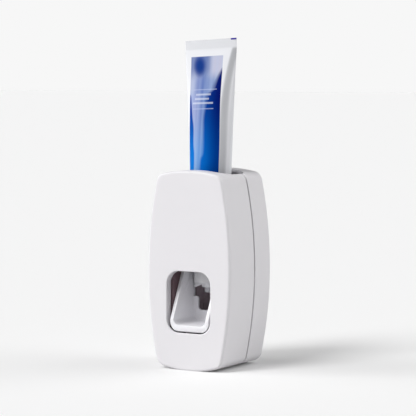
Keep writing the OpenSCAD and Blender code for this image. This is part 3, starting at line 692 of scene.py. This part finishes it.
# At height t, 0 to 1, the section is x = w sin(p), y = -d cos(p), with w widening from r to half the flat width
# and d falling from r to half the crimp's thickness; p follows the arc length, so the label isn't stretched.
# Higher up the section moves over by shift, and z grows by t times the lean's tangent times the distance from
# the middle.
def makeTube():
    cols, rows = 240, 150
    flat = math.pi * tube["radius"] / 2
    arcLength = np.linspace(-2 * flat, 2 * flat, cols, endpoint=False)
    fine = np.linspace(0, math.pi / 2, 600)

    def section(t):
        w = tube["radius"] + (flat - tube["radius"]) * t
        d = tube["crimpT"] / 2 + (tube["radius"] - tube["crimpT"] / 2) * (1 - t ** 1.44)
        stride = np.hypot(w * np.diff(np.sin(fine)), d * np.diff(np.cos(fine)))
        run = np.concatenate([[0], np.cumsum(stride)])
        inFront = np.abs(arcLength) <= flat
        folded = np.where(inFront, np.abs(arcLength), 2 * flat - np.abs(arcLength))
        phi = np.interp(folded, run / run[-1] * flat, fine)
        return w * np.sin(phi) * np.sign(arcLength), -d * np.cos(phi) * np.where(inFront, 1, -1)

    rings, marks = [], []
    levels = [(t, 0.0) for t in np.linspace(0, 1, rows)] + [(1, h) for h in np.linspace(0.15, 1, 20)]
    for t, crimp in levels:
        x, y = section(t)
        z = tube["base"] + tube["length"] * t + crimp * tube["crimpH"]
        side = np.sign(y + 1e-9)
        # Soft hollows under the crimp, where the round sleeve is pressed flat, with a ridge on either side.
        hollow = 0.9 * np.exp(-((t - 0.86) / 0.09) ** 2) * np.exp(-(x / 11) ** 2) * (t < 1)
        ridge = 0.35 * np.exp(-((t - 0.72) / 0.16) ** 2) * np.exp(-((np.abs(x) - 12) / 3.5) ** 2)
        y = y - side * np.minimum(hollow, np.abs(y) * 0.5) + side * ridge
        x = x + tube["shift"] * ease(t / tube["shiftDone"])
        rings.append(np.stack([x, y, z + (x - tube["shift"]) * tube["lean"] * t], -1))
        marks.append(z)
    points, faces, _ = ringPart(rings)
    mesh = buildMesh("tubeSleeve", [(points, faces, 0.0)], sharpAngle=60)
    layer = mesh.uv_layers.new(name="laminate")
    u = np.zeros(len(mesh.loops))
    v = np.zeros(len(mesh.loops))
    heights = np.repeat(marks, cols)
    across = np.tile(arcLength, len(rings))
    for polygon in mesh.polygons:
        loops = np.array(polygon.loop_indices)
        verts = np.array(polygon.vertices)
        a = across[verts].copy()
        if len(verts) == 4 and a.max() - a.min() > flat:
            a[a < 0] += 4 * flat
        u[loops], v[loops] = a / laminateSpan[0] + 0.5, heights[verts] / laminateSpan[1]
    layer.data.foreach_set("uv", np.stack([u, v], -1).astype(np.float32).ravel())
    addPiece("tubeSleeve", mesh, "tube", tubeLaminate(), ["tube_sleeve"])


# A curve through points (x, y) as one socket.
def curveNode(tree, value, points):
    node = tree.nodes.new("ShaderNodeFloatCurve")
    curve = node.mapping.curves[0]
    low, high = points[0][0], points[-1][0]
    floor, top = min(y for _, y in points), max(y for _, y in points)
    for index, (x, y) in enumerate(points):
        spot = ((x - low) / (high - low), (y - floor) / (top - floor))
        if index < 2:
            curve.points[index].location = spot
        else:
            curve.points.new(*spot)
    node.mapping.update()
    feed(tree, node.inputs["Value"], smoothLinear(tree, value, low, high))
    return mathNode(tree, "ADD", mathNode(tree, "MULTIPLY", node.outputs[0], top - floor), floor)


def smoothLinear(tree, value, low, high):
    return mathNode(tree, "DIVIDE", mathNode(tree, "SUBTRACT", value, low), high - low, clamp=True)


# The print, in mm of arc from the front centre and of height, which counts from lowered below the mesh's zero.
# The band's edges are (height, arc), a rule is (height, end), and a bar is (height, start, end).
label = dict(
    lowered=0.7, left=-16.7, right=12.3, top=236.0,
    bandRight=[
        (150, -3.2), (158, -2.8), (163, -1.0), (178, -1.0), (190, -1.8), (198, -0.6), (205, -0.3), (208, 1.2),
        (211, 4.4), (214, 5.2), (218, 6.8), (222, 8.8), (226, 11), (230, 14), (240, 15),
    ],
    bandLeft=[
        (150, -9.3), (160, -9.3), (170, -10.7), (182, -11.4), (190, -13), (198, -14.3), (206, -15.6),
        (211, -19), (240, -20),
    ],
    cloud=(-8.6, 229.0), cloudSize=(4.0, 6.6),
    rules=[(210.9, 8.0), (196.4, 6.2)],
    bars=[(207.2, -10.4, 3.0), (203.9, -11.2, 1.6), (200.7, -13.2, 5.4)],
    ribPitch=1.5, knurlPitch=(2.4, 1.8),
)


# White laminate with a generic blue panel: deep blue, a streaked light band and a cloud near the top. Lengths
# are in mm: a is the arc from the front centre and z the height.
def tubeLaminate():
    material = bpy.data.materials.new("tubeLaminate")
    tree, shader = nodeTree(material)
    uv = tree.nodes.new("ShaderNodeUVMap")
    uv.uv_map = "laminate"
    split = tree.nodes.new("ShaderNodeSeparateXYZ")
    tree.links.new(uv.outputs["UV"], split.inputs[0])
    coords = objectCoords(tree)

    def step(value, low, high):
        return smoothStep(tree, value, low, high)

    def inverse(value):
        return mathNode(tree, "SUBTRACT", 1.0, value)

    def product(*values):
        result = values[0]
        for value in values[1:]:
            result = mathNode(tree, "MULTIPLY", result, value)
        return result

    def plus(x, y):
        return mathNode(tree, "ADD", x, y)

    def minus(x, y):
        return mathNode(tree, "SUBTRACT", x, y)

    def over(x, y, clamp=False):
        return mathNode(tree, "DIVIDE", x, y, clamp=clamp)

    def wave(value, pitch):
        return mathNode(tree, "SINE", product(value, 2 * math.pi / pitch))

    def mix(factor, x, y):
        return mixColors(tree, factor, x, y)

    # 1 at the centre, falling to 0 at the width on either side.
    def bump(value, centre, width):
        off = over(minus(value, centre), width)
        return inverse(step(product(off, off), 0.0, 1.0))

    a = product(minus(split.outputs[0], 0.5), laminateSpan[0])
    z = plus(product(split.outputs[1], laminateSpan[1]), label["lowered"])
    wavy = plus(a, product(minus(noiseNode(tree, coords, 90, 2, stretch=(1, 1, 0.35)), 0.5), 3.0))

    # Deep blue, darker to the right and upwards.
    deepLow = mix(step(a, -2, 11), sRGB(0, 100, 190), sRGB(0, 60, 144))
    deepHigh = mix(step(a, -1, 11), sRGB(0, 50, 134), sRGB(0, 17, 100))
    deep = mix(step(z, 152, 208), deepLow, deepHigh)
    leftDeep = mix(step(z, 152, 200), sRGB(0, 116, 206), sRGB(0, 54, 146))

    # The light band's tones from the bottom to the top.
    low = mix(step(a, -12, 0), sRGB(138, 172, 218), sRGB(84, 140, 206))
    middle = mix(step(a, -12, 0), sRGB(150, 160, 204), sRGB(78, 112, 176))
    light = mix(step(z, 156, 196), low, middle)
    light = mix(product(step(z, 203, 211), step(a, -8, 2)), light, sRGB(134, 152, 194))
    light = mix(product(step(z, 204, 212), inverse(step(a, -14, -8))), light, sRGB(174, 180, 206))
    light = mix(product(step(z, 216, 226), step(a, -5, 4)), light, sRGB(190, 191, 211))
    light = mix(product(bump(z, 213.5, 9), bump(a, -5.5, 9), 0.6), light, sRGB(96, 118, 180))
    streaks = noiseNode(tree, coords, 300, 2, stretch=(1, 0.2, 0.035))
    light = mix(product(step(streaks, 0.4, 0.75), 0.3), light, sRGB(178, 196, 226))
    light = mix(product(inverse(step(streaks, 0.25, 0.5)), 0.2), light, sRGB(86, 118, 186))

    # The band lies between its two edges, the right one soft and wavy.
    bandRight = curveNode(tree, z, label["bandRight"])
    bandLeft = curveNode(tree, z, label["bandLeft"])
    softness = plus(1.2, product(bump(z, 211, 14), 0.9))
    inside = inverse(over(plus(minus(wavy, bandRight), softness), product(softness, 2.0), clamp=True))
    inside = product(inside, step(minus(a, bandLeft), -0.7, 0.7))
    deep = mix(step(a, -8, -5), leftDeep, deep)
    panel = mix(inside, deep, light)

    # A dark soft spot near the top.
    cloudX = over(minus(wavy, label["cloud"][0]), label["cloudSize"][0])
    cloudZ = over(minus(z, label["cloud"][1]), label["cloudSize"][1])
    cloud = plus(product(cloudX, cloudX), product(cloudZ, cloudZ))
    around = product(step(z, 217, 228), inverse(step(a, -3, 3.5)))
    panel = mix(product(around, 0.8), panel, sRGB(102, 120, 170))
    panel = mix(product(inverse(step(cloud, 0.0, 2.4)), 0.95), panel, sRGB(0, 52, 134))

    for level, last in label["rules"]:
        span = product(step(a, -13.3, -12.9), inverse(step(a, last - 0.4, last)))
        panel = mix(product(bump(z, level, 0.5), span, 0.5), panel, sRGB(190, 200, 228))
    for level, first, last in label["bars"]:
        span = product(step(a, first - 0.2, first + 0.2), inverse(step(a, last - 0.2, last + 0.2)))
        panel = mix(product(bump(z, level, 0.95), span, 0.5), panel, sRGB(226, 230, 240))

    # The white laminate, with painted shade along a crease beside the panel, and a greyer crimp.
    white = mix(noiseNode(tree, coords, 30, 3), sRGB(227, 228, 232), sRGB(234, 235, 239))
    climb = smoothLinear(tree, z, 186, 243)
    # Painted shade: a darker band where the sleeve turns from its front to its side.
    creaseShade = bump(a, plus(14.7, product(climb, climb, 7.2)), plus(4.0, product(climb, -0.4)))
    lateral = product(step(a, 11.5, 12.5), inverse(step(z, 240, 243)))
    white = mix(product(creaseShade, lateral, plus(0.68, product(climb, 0.25))), white, sRGB(166, 167, 171))
    crimpFoot = tube["base"] + tube["length"] + label["lowered"]
    crimpTop = crimpFoot + tube["crimpH"]
    crimp = step(z, crimpFoot - 0.2, crimpFoot + 1.5)
    white = mix(product(crimp, 0.5), white, sRGB(212, 213, 217))

    # The panel's area, and the colour mark at the corner of the crimp.
    brim = plus(label["right"], product(step(z, 160, 215), -0.8))
    area = product(step(a, label["left"] - 0.2, label["left"] + 0.2), inverse(step(minus(a, brim), -0.2, 0.2)),
                   inverse(step(z, label["top"] - 0.2, label["top"] + 0.2)))
    color = mix(area, white, panel)
    mark = product(step(a, 17.4, 17.6), inverse(step(a, 22.0, 22.3)), step(z, crimpTop - 1.3, crimpTop - 1.2))
    color = mix(mark, color, sRGB(70, 60, 152))
    feed(tree, shader.inputs["Base Color"], color)

    smudge = noiseNode(tree, coords, 60, 4, 0.6, 0.3)
    feed(tree, shader.inputs["Roughness"], smoothStep(tree, smudge, 0.3, 0.7, 0.34, 0.46))
    film = noiseNode(tree, coords, 160, 2, stretch=(1, 1, 0.4))
    ribs = wave(a, label["ribPitch"])
    knurl = product(wave(a, label["knurlPitch"][0]), wave(z, label["knurlPitch"][1]))
    emboss = plus(product(ribs, step(a, -10, -9), 0.35), product(knurl, inverse(step(a, -11, -10)), 0.35))
    height = plus(film, product(emboss, crimp))
    feed(tree, shader.inputs["Normal"], bumpNode(tree, height, 0.18, 0.2 * mm))
    shader.inputs["Specular IOR Level"].default_value = 0.02
    return material


makeTube()
print("tube made")


# Stage, light and camera

# A wall is azimuth, elevation and strength, and fades out where the cosine of the angle to it falls to
# wallEdge. A lamp is azimuth, elevation, spread and energy. Angles are in degrees.
studio = dict(
    even=0.225,
    walls=[(60, 5, 0.2), (120, 5, 1.1), (120, 35, 1.2), (-60, 5, 2.6)],
    wallEdge=0.75,
    lamps=[("keyLight", -19, 47, 24, 1.66), ("sideLight", -60, 25, 26, 0.52)],
    floorHalf=30.0,
    floorSeen=0.92,
    floorLit=0.66,
    backdrop=sRGB(247, 247, 247),
)
view = dict(azimuth=30.54, pitch=3.81, roll=0.0017, lens=166.37, sensor=36, place=(0.7387, -1.2545, 0.2173))


def makeFloor():
    mesh = bpy.data.meshes.new("studioFloor")
    half = studio["floorHalf"]
    corners = [(-half, -half, 0), (half, -half, 0), (half, half, 0), (-half, half, 0)]
    mesh.from_pydata(corners, [], [(0, 1, 2, 3)])
    floor = bpy.data.objects.new("studioFloor", mesh)
    scene.collection.objects.link(floor)
    material = bpy.data.materials.new("studioFloor")
    material.use_nodes = True
    tree = material.node_tree
    tree.nodes.clear()
    out = tree.nodes.new("ShaderNodeOutputMaterial")
    diffuse = tree.nodes.new("ShaderNodeBsdfDiffuse")
    path = tree.nodes.new("ShaderNodeLightPath")
    lit, seen = (studio["floorLit"],) * 3, (studio["floorSeen"],) * 3
    seen = mixColors(tree, path.outputs["Is Camera Ray"], lit, seen)
    tree.links.new(seen, diffuse.inputs["Color"])
    tree.links.new(diffuse.outputs[0], out.inputs["Surface"])
    mesh.materials.append(material)


# Directions are given by the azimuth, clockwise from the front as seen from above, and the elevation.
def towards(azimuth, elevation):
    turn, rise = math.radians(azimuth), math.radians(elevation)
    return Vector((math.sin(turn) * math.cos(rise), -math.cos(turn) * math.cos(rise), math.sin(rise)))


# Pale studio: a faint even light with soft brighter walls on the left and behind on the right.
def makeWorld():
    world = bpy.data.worlds.new("studio")
    scene.world = world
    world.use_nodes = True
    tree = world.node_tree
    tree.nodes.clear()
    out = tree.nodes.new("ShaderNodeOutputWorld")
    direction = tree.nodes.new("ShaderNodeTexCoord").outputs["Generated"]
    level = studio["even"]
    for azimuth, elevation, strength in studio["walls"]:
        dot = tree.nodes.new("ShaderNodeVectorMath")
        dot.operation = "DOT_PRODUCT"
        tree.links.new(direction, dot.inputs[0])
        dot.inputs[1].default_value = towards(azimuth, elevation)
        glow = smoothStep(tree, dot.outputs["Value"], studio["wallEdge"], 1.0, 0.0, strength)
        level = mathNode(tree, "ADD", level, glow)
    path = tree.nodes.new("ShaderNodeLightPath")
    ambient = tree.nodes.new("ShaderNodeBackground")
    ambient.inputs["Color"].default_value = (1, 1, 1, 1)
    tree.links.new(level, ambient.inputs["Strength"])
    paper = tree.nodes.new("ShaderNodeBackground")
    paper.inputs["Color"].default_value = (*studio["backdrop"], 1)
    mix = tree.nodes.new("ShaderNodeMixShader")
    tree.links.new(path.outputs["Is Camera Ray"], mix.inputs[0])
    tree.links.new(ambient.outputs[0], mix.inputs[1])
    tree.links.new(paper.outputs[0], mix.inputs[2])
    tree.links.new(mix.outputs[0], out.inputs["Surface"])


def makeLamps():
    for name, azimuth, elevation, spread, energy in studio["lamps"]:
        lamp = bpy.data.lights.new(name, "SUN")
        lamp.energy = energy
        lamp.angle = math.radians(spread)
        light = bpy.data.objects.new(name, lamp)
        scene.collection.objects.link(light)
        light.rotation_mode = "QUATERNION"
        light.rotation_quaternion = towards(azimuth, elevation).to_track_quat("Z", "Y")


def makeCamera():
    data = bpy.data.cameras.new("camera")
    data.lens = view["lens"]
    data.sensor_width = view["sensor"]
    data.clip_end = 100
    camera = bpy.data.objects.new("camera", data)
    scene.collection.objects.link(camera)
    azimuth = math.radians(view["azimuth"])
    back = towards(view["azimuth"], view["pitch"])
    right = Vector((math.cos(azimuth), math.sin(azimuth), 0))
    up = back.cross(right)
    basis = Matrix((right, up, back)).transposed() @ Matrix.Rotation(view["roll"], 3, "Z")
    camera.matrix_world = Matrix.Translation(view["place"]) @ basis.to_4x4()
    scene.camera = camera


makeFloor()
makeWorld()
makeLamps()
makeCamera()
scene.view_settings.view_transform = "Standard"
print("stage made")
